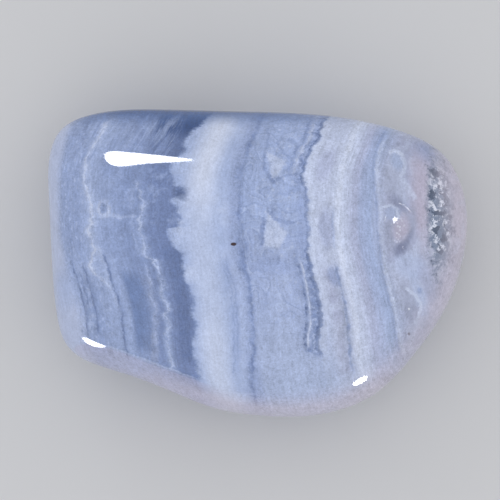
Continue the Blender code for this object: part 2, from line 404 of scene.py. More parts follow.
def pebble_rings(angles, columns):
    """The stone's skin over two parameters, the section angle and the place round the outline. The
    outline is drawn in to the heart by cos^(2/fullness) of the angle, growing oval on the way, and
    raised or lowered by sin^(2/dome power); low sine swells and worn facets follow."""
    outline = closed_curve(OUTLINE, columns) * (LENGTH / OUTLINE_LENGTH)
    heart = np.array(HEART) * (LENGTH / OUTLINE_LENGTH)
    spokes = outline - heart
    bearing = np.arctan2(spokes[:, 1], spokes[:, 0])
    top_fullness = TOP_FULLNESS + TOP_FULLNESS_SWING * np.cos(bearing - SHARPEST_BEARING)
    share = np.abs(angles)[:, None]
    above = angles[:, None] >= 0.0
    fullness = np.where(above, top_fullness[None, :], UNDERSIDE_FULLNESS)
    rest_turn = np.arccos(REST_SHARE ** (fullness / 2.0))
    turn = np.where(above, share * math.pi / 2, share * rest_turn)
    drawn_in = np.cos(turn) ** (2.0 / fullness)
    top_rise = (HEIGHT - GIRDLE_HEIGHT) * np.sin(turn) ** (2.0 / DOME_POWER)
    under_drop = GIRDLE_HEIGHT * (np.sin(turn) / np.sin(rest_turn)) ** (2.0 / DOME_POWER)
    height = GIRDLE_HEIGHT + np.where(above, top_rise, -under_drop)
    half_length, half_width = np.array(INNER_OVAL) * (LENGTH / OUTLINE_LENGTH)
    oval = 1.0 / np.hypot(np.cos(bearing) / half_length, np.sin(bearing) / half_width)
    to_oval = (oval / np.linalg.norm(spokes, axis=1))[None, :, None]
    still_outline = drawn_in[..., None] ** 2
    rounding = still_outline + (1.0 - still_outline) * to_oval
    flat = heart + drawn_in[..., None] * spokes[None] * rounding
    x = flat[..., 0]
    y = flat[..., 1]
    on_top = np.where(above, np.sin(turn) ** 2, 0.0)
    for swell, wave_x, wave_y, phase in SWELLS:
        height = height + on_top * swell * np.sin(wave_x * x + wave_y * y + phase)
    return wear_facets(np.stack([x, y, height], axis=-1))


def smooth_step(places, low, high):
    """0 below low, 1 above high, and 3t^2 - 2t^3 between them."""
    share = np.clip((places - low) / (high - low), 0.0, 1.0)
    return share * share * (3.0 - 2.0 * share)


def finish_surface(points):
    """Raise each shoulder as a bell curve of two distances, fading out below the girdle, and sink the
    crystal hollow by a smooth step of its oval reach, its floor rough with a sum of sine waves."""
    east, north, up = (points / MM).T
    rise = np.zeros(len(points))
    upper = smooth_step(up, *SHOULDER_FOOT)
    for at_east, at_north, bearing, along, across, height in SHOULDERS:
        bearing = math.radians(bearing)
        ahead = (east - at_east) * math.cos(bearing) + (north - at_north) * math.sin(bearing)
        aside = (north - at_north) * math.cos(bearing) - (east - at_east) * math.sin(bearing)
        rise += upper * height * np.exp(-0.5 * (ahead / along) ** 2 - 0.5 * (aside / across) ** 2)
    at_east, at_north, half_width, half_length, depth = HOLLOW
    reach = np.hypot((east - at_east) / half_width, (north - at_north) / half_length)
    sunken = (1.0 - smooth_step(reach, *HOLLOW_RIM)) * smooth_step(up, 6.0, 7.0)
    crystals = sum(np.sin(east * to_east + north * to_north) for to_east, to_north in CRYSTAL_WAVES)
    rough = 1.0 - smooth_step(north, at_north, at_north + 0.4)
    rise += sunken * (crystals * CRYSTAL_HEIGHT * rough - depth)
    return points + np.stack([0.0 * rise, 0.0 * rise, rise], axis=-1) * MM


def pebble_skin():
    """All the skin's points, ring by ring from the flat spot up, then the pole underneath and the pole
    on top, stood where the model stands; and the index rows of its quads and of its two closing fans."""
    lower = -np.cos(np.linspace(0.0, math.pi / 2, LOWER_RINGS + 1))[:-1]
    upper = np.sin(np.linspace(0.0, math.pi / 2, UPPER_RINGS + 1))[:-1]
    rings = pebble_rings(np.concatenate([lower, upper]), COLUMNS)
    rings[0, :, 2] = rings[0, :, 2].min()
    crown = pebble_rings(np.array([1.0]), COLUMNS)[0].mean(axis=0)
    sole = rings[0].mean(axis=0)
    low = rings.reshape(-1, 3).min(axis=0)
    high = rings.reshape(-1, 3).max(axis=0)
    stand = np.array([(low[0] + high[0]) / 2, (low[1] + high[1]) / 2, low[2]])
    points = finish_surface(np.vstack([rings.reshape(-1, 3), sole, crown]) - stand)
    count = len(rings)
    grid = np.arange(count * COLUMNS).reshape(count, COLUMNS)
    turned = np.roll(grid, -1, axis=1)
    quads = np.stack([grid[:-1], turned[:-1], turned[1:], grid[1:]], axis=-1).reshape(-1, 4)
    sole_index = np.full(COLUMNS, count * COLUMNS)
    under = np.stack([turned[0], grid[0], sole_index], axis=-1)
    over = np.stack([grid[-1], turned[-1], sole_index + 1], axis=-1)
    return points, quads, np.vstack([under, over])


def new_piece(name, points, faces):
    """An object of the given points and faces, in the scene."""
    mesh = bpy.data.meshes.new(name)
    mesh.from_pydata(points, [], faces)
    piece = bpy.data.objects.new(name, mesh)
    bpy.context.scene.collection.objects.link(piece)
    return piece


def stone_mesh():
    """Put the skin's arrays into a mesh, shaded smooth but for the rim of the flat spot."""
    points, quads, fans = pebble_skin()
    pebble = new_piece("polished_pebble", points.tolist(), quads.tolist() + fans.tolist())
    pebble.data.validate()
    pebble.data.shade_smooth()
    pebble.data.set_sharp_from_angle(angle=SHARP_RIM)
    return pebble


def feed(tree, slot, value):
    """Link a varying value to a socket, or set the socket to a plain one."""
    if isinstance(value, Varying):
        tree.links.new(value.socket, slot)
    elif isinstance(value, bpy.types.NodeSocket):
        tree.links.new(value, slot)
    else:
        slot.default_value = value


def reckon(tree, operation, *values):
    """One Math node."""
    node = tree.nodes.new("ShaderNodeMath")
    node.operation = operation
    for slot, value in zip(node.inputs, values):
        feed(tree, slot, value)
    return Varying(tree, node.outputs[0])


def arithmetic(operation, turned=False):
    """A method that gives one Math node of the number and others, or of the others and the number."""

    def method(number, *others):
        values = (*others, number) if turned else (number, *others)
        return reckon(number.tree, operation, *values)

    return method


class Varying:
    """A number that varies through the stone: a shader socket that takes plain arithmetic."""

    def __init__(self, tree, socket):
        self.tree = tree
        self.socket = socket

    __add__ = arithmetic("ADD")
    __radd__ = arithmetic("ADD", turned=True)
    __sub__ = arithmetic("SUBTRACT")
    __rsub__ = arithmetic("SUBTRACT", turned=True)
    __mul__ = arithmetic("MULTIPLY")
    __rmul__ = arithmetic("MULTIPLY", turned=True)
    __truediv__ = arithmetic("DIVIDE")
    __abs__ = arithmetic("ABSOLUTE")
    power = arithmetic("POWER")
    least = arithmetic("MINIMUM")
    most = arithmetic("MAXIMUM")
    left_over = arithmetic("FRACT")

    def rise(self, low, high):
        """0 below low, 1 above high, smooth between them."""
        node = self.tree.nodes.new("ShaderNodeMapRange")
        node.interpolation_type = "SMOOTHSTEP"
        node.clamp = False
        for name, value in (("Value", self), ("From Min", low), ("From Max", high)):
            feed(self.tree, node.inputs[name], value)
        return Varying(self.tree, node.outputs["Result"])

    def fall(self, low, high):
        """1 below low, 0 above high, smooth between them."""
        return 1.0 - self.rise(low, high)

    def near(self, centre, width):
        """1 at the centre, 0 at a width or more from it."""
        return abs(self - centre).fall(0.0, width)

    def inside(self, low, high, soft):
        """1 from low to high, fading out over soft beyond them."""
        return self.rise(low - soft, low) * self.fall(high, high + soft)


def join(tree, x, y, z):
    """One vector of three numbers."""
    node = tree.nodes.new("ShaderNodeCombineXYZ")
    for slot, value in zip(node.inputs, (x, y, z)):
        feed(tree, slot, value)
    return node.outputs[0]


def cloud(tree, point, scale, detail=2.0, roughness=0.5, distortion=0.0):
    """Smooth noise from about -1 to 1."""
    node = tree.nodes.new("ShaderNodeTexNoise")
    tree.links.new(point, node.inputs["Vector"])
    node.inputs["Scale"].default_value = scale
    node.inputs["Detail"].default_value = detail
    node.inputs["Roughness"].default_value = roughness
    node.inputs["Distortion"].default_value = distortion
    return (Varying(tree, node.outputs["Fac"]) - 0.5) * 2.0


def cells(tree, point, scale):
    """Distance to the nearest of many random centres."""
    node = tree.nodes.new("ShaderNodeTexVoronoi")
    tree.links.new(point, node.inputs["Vector"])
    node.inputs["Scale"].default_value = scale
    return Varying(tree, node.outputs["Distance"])


def course(tree, along, knots):
    """A value that runs smoothly through listed knots, pairs of place along and value."""
    knots = sorted(knots)
    first = knots[0][0]
    last = knots[-1][0]
    values = [value for place, value in knots]
    low = min(values) - 0.5
    high = max(values) + 0.5
    node = tree.nodes.new("ShaderNodeFloatCurve")
    curve = node.mapping.curves[0]
    for place, value in knots[1:-1]:
        curve.points.new((place - first) / (last - first), (value - low) / (high - low))
    curve.points[0].location = (0.0, (knots[0][1] - low) / (high - low))
    curve.points[-1].location = (1.0, (knots[-1][1] - low) / (high - low))
    node.mapping.extend = "HORIZONTAL"
    node.mapping.update()
    feed(tree, node.inputs["Value"], (along - first) / (last - first))
    return Varying(tree, node.outputs["Value"]) * (high - low) + low


def tint(tree, colour, share, new):
    """Lay a new colour over another by a share from 0 to 1."""
    node = tree.nodes.new("ShaderNodeMix")
    node.data_type = "RGBA"
    node.clamp_factor = True
    feed(tree, node.inputs[0], share)
    feed(tree, node.inputs[6], colour)
    feed(tree, node.inputs[7], new if isinstance(new, bpy.types.NodeSocket) else (*new, 1.0))
    return node.outputs[2]


def shade(tree, colour, gain):
    """Multiply a colour by a number."""
    node = tree.nodes.new("ShaderNodeHueSaturation")
    feed(tree, node.inputs["Value"], gain)
    feed(tree, node.inputs["Color"], colour)
    return node.outputs[0]


def node_group(name, inputs, outputs, formula):
    """A shader node group of numbers: formula takes the inputs by name and gives the outputs by name."""
    tree = bpy.data.node_groups.new(name, "ShaderNodeTree")
    for way, labels in (("INPUT", inputs), ("OUTPUT", outputs)):
        for label in labels:
            tree.interface.new_socket(label, in_out=way, socket_type="NodeSocketFloat")
    start = tree.nodes.new("NodeGroupInput")
    end = tree.nodes.new("NodeGroupOutput")
    given = {label: Varying(tree, start.outputs[label]) for label in inputs}
    for label, value in formula(given).items():
        tree.links.new(value.socket, end.inputs[label])
    return tree


def lace_line_group():
    """A thin line that follows a layer, between two latitudes: 1 on the line, 0 a width away, with a
    faint halo, and worn thin here and there. Its place across the layers is At plus a share of each of
    three wanderings."""

    def formula(given):
        wander = (
            given["Wobble"] * given["Wobble By"]
            + given["Crimp"] * given["Crimp By"]
            + given["Ruffle"] * given["Ruffle By"]
        )
        off = abs(given["Across"] - given["At"] - wander)
        width = given["Width"] * (0.75 + given["Wear"] * 0.5)
        core = off.fall(width * 0.25, width) * (0.4 + given["Wear"] * 0.6)
        halo = off.fall(0.0, width * 3.0) * 0.3
        start = given["Along"].rise(given["From"] - given["Fade"], given["From"])
        stop = given["Along"].fall(given["To"], given["To"] + given["Fade"])
        return {"Line": core.most(halo) * start * stop}

    return node_group("lace line", LINE_INPUTS, ["Line"], formula)


def window_group():
    """An oval patch, whose reach is 0 in its middle and 1 on its edge: Inside is 1 within the edge, and
    Edge is 1 along it."""

    def formula(given):
        east = given["East"] - given["Centre East"]
        north = given["North"] - given["Centre North"]
        right = (east - north * given["Lean"]) / given["Half Width"]
        ahead = north / given["Half Length"]
        reach = (right * right + ahead * ahead).power(0.5) + given["Ragged"]
        inside = reach.fall(1.0 - given["Soft"], 1.0 + given["Soft"])
        edge = abs(reach - 1.0).fall(0.0, given["Soft"])
        return {"Inside": inside, "Edge": edge}

    return node_group("milky window", WINDOW_INPUTS, ["Inside", "Edge"], formula)


def side_group():
    """A straight run in plan from one corner to the next: Mark is 1 along it and 0 a width away, and
    Right is how far a point lies to the right of the whole line through it, in millimetres."""

    def formula(given):
        run_east = given["To East"] - given["From East"]
        run_north = given["To North"] - given["From North"]
        east = given["East"] - given["From East"]
        north = given["North"] - given["From North"]
        square = run_east * run_east + run_north * run_north
        share = ((east * run_east + north * run_north) / square).most(0.0).least(1.0)
        off_east = east - run_east * share
        off_north = north - run_north * share
        off = (off_east * off_east + off_north * off_north).power(0.5)
        right = (east * run_north - north * run_east) / square.power(0.5)
        return {"Mark": off.fall(given["Width"] * 0.3, given["Width"]), "Right": right}

    return node_group("straight side", SIDE_INPUTS, ["Mark", "Right"], formula)


class Layers:
    """Where a point lies in the stone's layers, the wanderings that its lines share, and its colour."""

    def __init__(self, tree):
        self.tree = tree
        coordinate = tree.nodes.new("ShaderNodeTexCoord")
        split = tree.nodes.new("ShaderNodeSeparateXYZ")
        tree.links.new(coordinate.outputs["Object"], split.inputs[0])
        east, north, up = (Varying(tree, socket) * (1.0 / MM) for socket in split.outputs)
        leaned = east - (CROWN - up) * LAYER_LEAN
        bend_more = 0.75 + leaned.fall(-6.0, -4.5) * 0.95 + leaned.rise(2.0, 8.0) * 0.35
        bend = bend_more * north.fall(BEND_SOUTH, BEND_NORTH) + north.rise(5.5, 8.8) * 0.4
        across = leaned - bend
        self.in_plan = (east, north, up)
        self.in_layers = (across, north, up)
        drawn_out = (0.35, 1.0, 1.0)
        self.wobble = self.haze(0.75, stretch=drawn_out, layered=True)
        self.crimp = self.haze(2.0, roughness=0.6, stretch=drawn_out, layered=True)
        self.ruffle = self.haze(5.0, roughness=0.7)
        self.wear = self.haze(1.3, roughness=0.6).rise(-0.45, 0.35)
        self.drift = self.haze(0.45, detail=3.0, roughness=0.55)
        self.mottle = self.haze(1.6, detail=3.0, roughness=0.6)
        self.grain = self.haze(9.0, roughness=0.7)
        self.east = east + self.ruffle * 0.03
        self.north = north + self.crimp * 0.04
        self.up = up + self.ruffle * 0.02
        self.across = across + self.ruffle * 0.02
        self.upper = self.up.rise(4.0, 6.0)
        self.step = None
        self.at_milk = None
        self.lace_line = lace_line_group()
        self.window = window_group()
        self.straight = side_group()
        self.colour = None

    def place(self, stretch, layered=False):
        """The point in plan and height, or across and along the layers, stretched along each way."""
        ways = self.in_layers if layered else self.in_plan
        return join(self.tree, *(way * share for way, share in zip(ways, stretch)))

    def haze(self, scale, detail=2.0, roughness=0.5, distortion=0.0, stretch=EVEN, layered=False):
        """Smooth noise from about -1 to 1, so many swings to the millimetre, in plan or layered."""
        return cloud(self.tree, self.place(stretch, layered), scale, detail, roughness, distortion)

    def foam(self, scale, stretch=EVEN):
        """Distance to the nearest of so many random centres to the millimetre, as a share of the gap."""
        return cells(self.tree, self.place(stretch), scale)

    def group(self, tree_used, labels, values, output):
        """One use of a node group, for one of its outputs."""
        node = self.tree.nodes.new("ShaderNodeGroup")
        node.node_tree = tree_used
        for label, value in zip(labels, values, strict=True):
            feed(self.tree, node.inputs[label], value)
        return Varying(self.tree, node.outputs[output])

    def draw(self, row, run=0.0, share=1.0, more=0.0):
        """Lay one lace line from its row, beside a run that strays from its layer where one is given.
        Its strength is raised by more, then thinned by share."""
        at, width, start, stop, wobble, crimp, fade, strength, colour = row
        ruffle = 0.05 + crimp * 0.3
        wanderings = (self.wobble, self.crimp, self.ruffle, self.wear)
        values = (self.across, self.north, *wanderings, run + at, wobble, crimp, ruffle)
        values += (width, start, stop, fade)
        line = self.group(self.lace_line, LINE_INPUTS, values, "Line")
        self.paint(line * (share * (strength + more)), colour)

    def patch(
        self, east, north, half_width, half_length, lean, soft, ragged=0.0, across=None, output="Inside"
    ):
        """An oval window of the upper side, the mask of its inside or of its edge. Where across is given
        it is placed across the layers instead of east."""
        ways = (self.east if across is None else across, self.north)
        values = (*ways, ragged, east, north, half_width, half_length, lean, soft)
        return self.group(self.window, WINDOW_INPUTS, values, output) * self.upper

    def dab(self, row, ragged=0.0, across=None):
        """Lay one soft spot from its row."""
        *shape, strength, colour = row
        self.paint(self.patch(*shape, ragged, across) * strength, colour)

    def side(self, output, start, end, crimp, ruffle, width=0.15):
        """One straight run between two corners, frayed a little: its mark, or what lies right of it."""
        east = self.east + self.crimp * crimp + self.ruffle * ruffle
        north = self.north + self.wobble * 0.12 + self.ruffle * ruffle
        return self.group(self.straight, SIDE_INPUTS, (east, north, *start, *end, width), output)

    def marks(self, corners, width):
        """A row of short marks joined end to end, on the upper side only."""
        whole = None
        for start, end in zip(corners[:-1], corners[1:]):
            mark = self.side("Mark", start, end, 0.15, 0.12, width)
            whole = mark if whole is None else whole.most(mark)
        return whole * self.upper * (0.5 + self.wear * 0.5)

    def cornered(self, corners, soft):
        """A straight-sided patch of the upper side, 1 inside, its corners listed against the clock."""
        farthest = None
        for start, end in zip(corners, corners[1:] + corners[:1]):
            right = self.side("Right", start, end, 0.12, 0.08)
            farthest = right if farthest is None else farthest.most(right)
        return farthest.fall(-soft, soft) * self.upper

    def run(self, knots):
        """Where a line that strays from its layer lies across the layers, by latitude."""
        return course(self.tree, self.north, knots)

    def paint(self, share, new):
        self.colour = tint(self.tree, self.colour, share, new)


def contours(field, count, width):
    """Nested outlines of a field, like the rings of fortification agate: 1 on an outline."""
    phase = (field * count).left_over()
    return abs(phase - 0.5).rise(0.5 - width, 0.5)


def lay_ground(stone):
    """The broad bands, with the ragged feathery shore between the slate and the milk, and the crisp
    scalloped step from the blue middle to the whitish band."""
    moved = (STRAIGHT_SHORE - stone.run(SHORE)) * stone.across.near(-5.4, 2.4)
    stone.step = stone.run(SHARP_EDGE) + stone.crimp * 0.3 + stone.ruffle * 0.12
    stepped = (STRAIGHT_STEP - stone.step) * stone.across.inside(2.8, 3.5, 1.0)
    feather = stone.haze(1.0, 5.0, 0.68, 0.3, (1.1, 1.9, 1.9), layered=True)
    ragged = feather * stone.across.near(-5.0, 1.7) * 0.65
    soft = stone.wobble * 0.1 + stone.crimp * 0.06 + stone.ruffle * 0.05
    across = stone.across + moved + ragged + stepped + soft * stone.across.near(-5.0, 5.0)
    ramp = stone.tree.nodes.new("ShaderNodeValToRGB")
    feed(stone.tree, ramp.inputs[0], (across - GROUND[0][0]) / GROUND_WIDTH)
    stops = ramp.color_ramp.elements
    while len(stops) < len(GROUND):
        stops.new(0.5)
    for stop, (at, colour) in zip(stops, GROUND):
        stop.position = (at - GROUND[0][0]) / GROUND_WIDTH
        stop.color = (*colour, 1.0)
    stone.colour = ramp.outputs["Color"]
    stone.at_milk = across.rise(-5.45, -5.0)


def lay_texture(stone):
    """The stone's fine body: hair-fine sheets, fibres, soft clouds, flecks and grain."""
    hair_fine = (1.0, 0.07, 0.07)
    fine = stone.haze(6.5, 3.0, 0.75, 0.1, hair_fine, layered=True)
    broad = stone.haze(1.2, stretch=hair_fine, layered=True)
    fibre = stone.haze(6.0, roughness=0.65, stretch=(1.0, 0.28, 0.28), layered=True)
    right = stone.across.inside(5.0, 7.4, 0.5)
    sheets = fine * (0.16 + right * 0.18) + broad * 0.12 + fibre * 0.2
    body = stone.drift * 0.12 + stone.mottle * 0.18 + stone.ruffle * 0.26 + stone.grain * 0.32
    milky = stone.across.inside(-4.8, -2.2, 0.7) * 0.35
    ends = stone.across.fall(-14.6, -14.0) * 0.45 + stone.across.rise(7.8, 8.6) * 0.3
    stone.colour = shade(stone.tree, stone.colour, 1.0 + (sheets + body) * (1.0 - milky - ends))


def lay_left_end(stone):
    """The pale left end: its freckled edge, the wavy lace line, and the dark hair lines with a broken
    pale chain between them."""
    across = stone.across
    north = stone.north
    low_corner = north.fall(-7.0, -0.5) * across.inside(-15.5, -13.75, 0.5)
    stone.paint(low_corner * 0.7, LILAC_RIM)
    freckled = across.inside(-13.9, -11.7, 0.4)
    freckles = stone.foam(3.4, (1.0, 0.6, 1.0)).fall(0.12, 0.42)
    stone.paint(freckles * freckled * (0.4 + stone.mottle * 0.7), MILK)
    dark_freckles = stone.foam(2.8, (-1.0, 0.6, 1.0)).fall(0.1, 0.42)
    stone.paint(dark_freckles * freckled * (0.4 - stone.mottle * 0.7), SLATE)
    wavy = stone.run(WAVY_LACE)
    for row in WAVY_LINES:
        stone.draw(row, wavy, more=stone.mottle * 0.5)
    stone.dab(LOW_CORNER, stone.mottle * 0.4)
    between = across.inside(-13.45, -12.82, 0.12) * north.inside(-4.2, -0.8, 0.5)
    chain = stone.haze(2.4, roughness=0.6, stretch=(1.2, 0.7, 0.7), layered=True)
    stone.paint(between * chain.rise(-0.08, 0.26) * 0.5, MILK)
    stone.paint(between * chain.fall(-0.3, -0.04) * 0.35, SLATE)
    for row in HAIR_LINES:
        stone.draw(row)


def lay_slate(stone):
    """The clear slate: the steel band, the soft grey band, the braided lace line, the deepest blue
    beside the shore, and in the upper part a ring, wisps, mist and slanting streaks."""
    across = stone.across
    north = stone.north
    high = north.rise(6.2, 7.2)
    clear = 1.0 - stone.at_milk
    ragged = stone.mottle * 0.5 + stone.ruffle * 0.4
    steel = across.inside(-9.85, -9.05, 0.45) * north.inside(-5.2, -1.3, 1.2)
    stone.paint(steel * 0.95, STEEL_BLUE)
    grey_run = stone.run(GREY_BAND)
    for row in GREY_LINES:
        stone.draw(row, grey_run)
    deepest = across.inside(-6.4, -5.5, 0.6) * north.inside(-6.0, 0.6, 1.0)
    stone.paint(deepest * clear * (0.45 + stone.mottle * 0.6), INK_SLATE)
    stone.dab(SHORE_NICK, ragged)
    mist = across.inside(-7.0, -5.8, 0.8) * north.inside(3.0, 6.6, 0.7)
    stone.paint(mist * clear * (stone.mottle + stone.drift).rise(-0.2, 0.4) * 0.6, MILKY_BLUE)
    # Darker slate in the upper part, deepened towards the top edge by painted shade.
    top_clear = across.inside(-7.6, -5.0, 0.7) * clear
    stone.paint(high * top_clear * 0.6, INK_SLATE)
    stone.paint(north.rise(7.9, 9.1) * top_clear, TOP_EDGE_SHADE)
    stone.draw(UPPER_WHISKER)
    crinkled = stone.run(CRINKLED_LACE)
    for row in CRINKLED_LINES:
        stone.draw(row, crinkled)
    even_across, even_north, even_up = stone.in_layers
    slant = (even_across - even_north * 0.26) * 1.7
    slanted = join(stone.tree, slant, even_north * 0.22, even_up * 0.22)
    streaks = cloud(stone.tree, slanted, 1.0, 4.0, 0.7, 0.15)
    streaked = high * across.inside(-12.6, -6.6, 0.6)
    stone.paint(streaked * streaks.rise(-0.1, 0.2) * 0.52, MILKY_BLUE)
    stone.paint(streaked * streaks.rise(0.1, 0.4) * 0.32, MILK)
    stone.paint(streaked * streaks.fall(-0.3, -0.02) * 0.65, SLATE)
    blots = stone.mottle.rise(0.0, 0.45) * across.inside(-11.2, -8.2, 0.5) * north.rise(0.5, 2.0)
    stone.paint(blots * 0.6, CLOUD_BLUE)
    for row in SLATE_CLOUDS:
        stone.dab(row, ragged)
    ring = stone.patch(*SLATE_RING, ragged, output="Edge")
    stone.paint(ring * (0.3 + stone.wear * 0.7) * 0.6, SNOW)
    stone.dab(RING_EYE, ragged)
    latitude = north + stone.wobble * 0.4 + stone.crimp * 0.3 + stone.ruffle * 0.2
    wisp = latitude.near(3.1, 0.22) * across.inside(-11.2, -8.4, 0.5)
    stone.paint(wisp * stone.upper * stone.wear * 0.7, MILK)


def lay_milk(stone):
    """The white band with soft blue clouds in it, the soft blue line at its right, and the faint hairs
    beside that line in the lower part."""
    across = stone.across
    north = stone.north
    low = north.fall(-0.5, 1.5)
    milky = stone.at_milk * across.fall(-2.4, -1.6)
    stone.paint((1.0 - low) * across.inside(-3.4, -2.2, 0.6) * 0.55, MILK)
    stone.paint(milky * stone.drift.rise(-0.05, 0.45) * 0.45, SNOW)
    stone.paint(milky * stone.drift.fall(-0.5, 0.05) * 0.3, MILKY_BLUE)
    bright = 0.4 + north.rise(2.0, 6.0) * 0.5 + north.fall(-6.0, -2.0) * 0.5
    stone.paint(milky * across.near(-3.8, 1.6) * bright, SNOW)
    stone.paint(milky * across.near(-3.7, 1.3) * north.rise(3.0, 6.5) * 0.35, WHITE)
    blue = stone.run(BLUE_LINE)
    frayed = stone.mottle * 0.6 + stone.crimp * 0.3
    for row in UPPER_BLUE_LINES:
        stone.draw(row, blue, more=frayed)
    for row in LOWER_BLUE_LINES:
        stone.draw(row, blue, share=low)
    stone.dab(RUST_SPECK)


def lay_periwinkle(stone):
    """The mottled middle: nested fine outlines, two milky three-cornered windows with dark outlines, a
    darker patch and a tiny ring; paler and greyer towards the lower rim."""
    across = stone.across
    north = stone.north
    middle = across.inside(-0.9, 2.6, 0.4)
    stone.paint(north.rise(0.5, 4.0) * middle * 0.8, MILKY_BLUE)
    paler = north.fall(-7.0, -1.0) * across.inside(-0.6, 3.6, 0.6)
    stone.paint(paler * 0.75, PALE_ASH)
    end = north.fall(-7.6, -5.4) * across.inside(1.6, 4.4, 1.2)
    stone.paint(end * 0.6, PALE_ASH)
    field = stone.haze(0.42, 1.0, 0.4, 0.6) + stone.crimp * 0.05 + stone.ruffle * 0.03
    some = (0.25 + stone.wear * 0.75) * north.rise(-6.5, -2.0) * middle
    stone.paint(some * contours(field + 0.06, 3.4, 0.2) * 0.5, SLATE)
    stone.paint(some * contours(field, 3.4, 0.18) * 0.6, MILK)
    dots = stone.foam(2.4).fall(0.1, 0.36)
    dotted = across.inside(0.2, 2.6, 0.5) * north.rise(-4.0, 0.0)
    stone.paint(dotted * dots * (0.3 + stone.mottle * 0.5), SNOW)
    flecks = stone.ruffle.rise(0.05, 0.4) * middle * north.rise(-6.0, -2.0)
    stone.paint(flecks * 0.35, DUSK)
    ragged = stone.mottle * 0.3
    stone.dab(DUSKY_PATCH, ragged)
    for corners in WINDOWS:
        stone.paint(stone.cornered(corners, 0.12) * (0.62 + stone.mottle * 0.4), SNOW)
    for corners, width, share in WINDOW_OUTLINES:
        stone.paint(stone.marks(corners, width * 1.1) * share, DEEP_SLATE)
    stone.paint(stone.patch(*TINY_RING, ragged, output="Edge") * 0.6, MILK)


def lay_dark_lace(stone):
    """The dark lacy band with its crisp scalloped right edge: a frayed double band above, a soft dusky
    one in the middle, and below it two dark dotted lines with a pale line between them."""
    off = stone.across - stone.step
    low = stone.north.fall(-0.6, 1.0)
    high = stone.north.rise(4.6, 6.2)
    reach = stone.north.rise(-6.4, -5.6)
    frayed = stone.haze(2.1, detail=3.0, roughness=0.7, stretch=(1.0, 1.2, 1.2), layered=True)
    dusky = off.inside(-0.55, -0.08, 0.35) * reach
    stone.paint(dusky * (0.45 + frayed * 0.7), DUSK)
    patchy = off.inside(-0.6, -0.04, 0.12) * frayed.rise(-0.12, 0.2)
    stone.paint(patchy * high * 0.85, DEEP_SLATE)
    middle = stone.north.inside(1.6, 4.8, 1.0)
    line = off.inside(-0.16 - low * 0.08, -0.03, 0.07) * reach
    stone.paint(line * (0.65 + frayed * 0.8 - middle * 0.35), INK_SLATE)
    left = stone.run(SHARP_EDGE) - 0.86
    stone.draw(UPPER_DARK_LACE, left, high, frayed)
    stone.draw(UPPER_PALE_LACE, left, high)
    lower = low * reach
    crescents = off.inside(-0.6, -0.32, 0.12) * lower
    stone.paint(crescents * 0.7, SLATE)
    stone.paint(crescents * frayed.rise(0.0, 0.2) * 0.55, DEEP_SLATE)
    stone.paint(crescents * frayed.fall(-0.22, -0.06) * 0.6, MILK)
    stone.draw(LOWER_DARK_LACE, left, lower, frayed * 1.5)
    stone.draw(LOWER_PALE_LACE, left, lower)
    stone.paint(off.inside(0.02, 0.3, 0.2) * reach * (0.25 + frayed * 0.4), SNOW)


def lay_ovals(stone):
    """The whitish band with its grey-mauve ovals, the long one with a dark right edge, and the hair-fine
    sheets and the blue band to the right."""
    across = stone.across + stone.ruffle * 0.05
    ragged = stone.mottle * 0.3
    for row in OVALS:
        stone.dab(row, ragged, across)
    stone.draw(OVAL_EDGE)
    stone.draw(LONG_OVAL, stone.run(LONG_OVAL_RUN))
    stone.dab(LONG_OVAL_END, ragged, across)
    for row in SHEET_LINES:
        stone.draw(row)
    blue = across.inside(6.6, 7.1, 0.35) * stone.north.rise(-5.5, -1.5)
    stone.paint(blue * 0.4, MILKY_BLUE)
    right = stone.run(RIGHT_LINE)
    for row in RIGHT_LINES:
        stone.draw(row, right)


def lay_mauve_end(stone):
    """The cloudy mauve right end: soft clouds with light outlines, the small crystal hollow with painted
    glints on its crystals, and the seam of whitish crystals on dark teal."""
    end = stone.across.rise(7.6, 8.1)
    field = stone.haze(0.62, 4.0, 0.6, 0.5, (1.0, 0.6, 0.6))
    stone.paint(end * field.rise(-0.05, 0.25) * 0.6, FROST)
    stone.paint(end * field.fall(-0.4, -0.05) * 0.45, MAUVE_GREY)
    stone.paint(end * (field + stone.ruffle * 0.1).near(0.1, 0.05) * stone.wear * 0.4, SNOW)
    ragged = stone.mottle * 0.4
    for row in RIGHT_END_SPOTS:
        stone.dab(row, ragged)
    for corners, width, share in PALE_TRACES:
        stone.paint(stone.marks(corners, width) * share, SNOW)
    # Painted highlights: white glints on the crystals of the hollow.
    painted_glints = stone.foam(4.2).fall(0.22, 0.42)
    stone.paint(stone.patch(*HOLLOW_GLINTS) * painted_glints * 0.55, WHITE)
    # A painted white glint at a tiny pit, and a rust speck.
    for row in GLINT_AND_RUST_SPECKS:
        stone.dab(row)
    seam = stone.patch(*SEAM, ragged + stone.ruffle * 0.4)
    stone.paint(seam * 0.95, TEAL_GREY)
    branched = stone.haze(1.6, 4.0, 0.72, 0.4)
    pitted = stone.haze(1.6, 3.0, 0.65, 0.4, (-1.0, 1.0, 1.0))
    bright = stone.north.inside(1.4, 5.4, 1.2) * 0.45 + 0.45
    stone.paint(seam * branched.rise(-0.04, 0.16) * (bright + 0.1), WHITE)
    stone.paint(seam * pitted.fall(-0.16, -0.05), DEEP_TEAL)


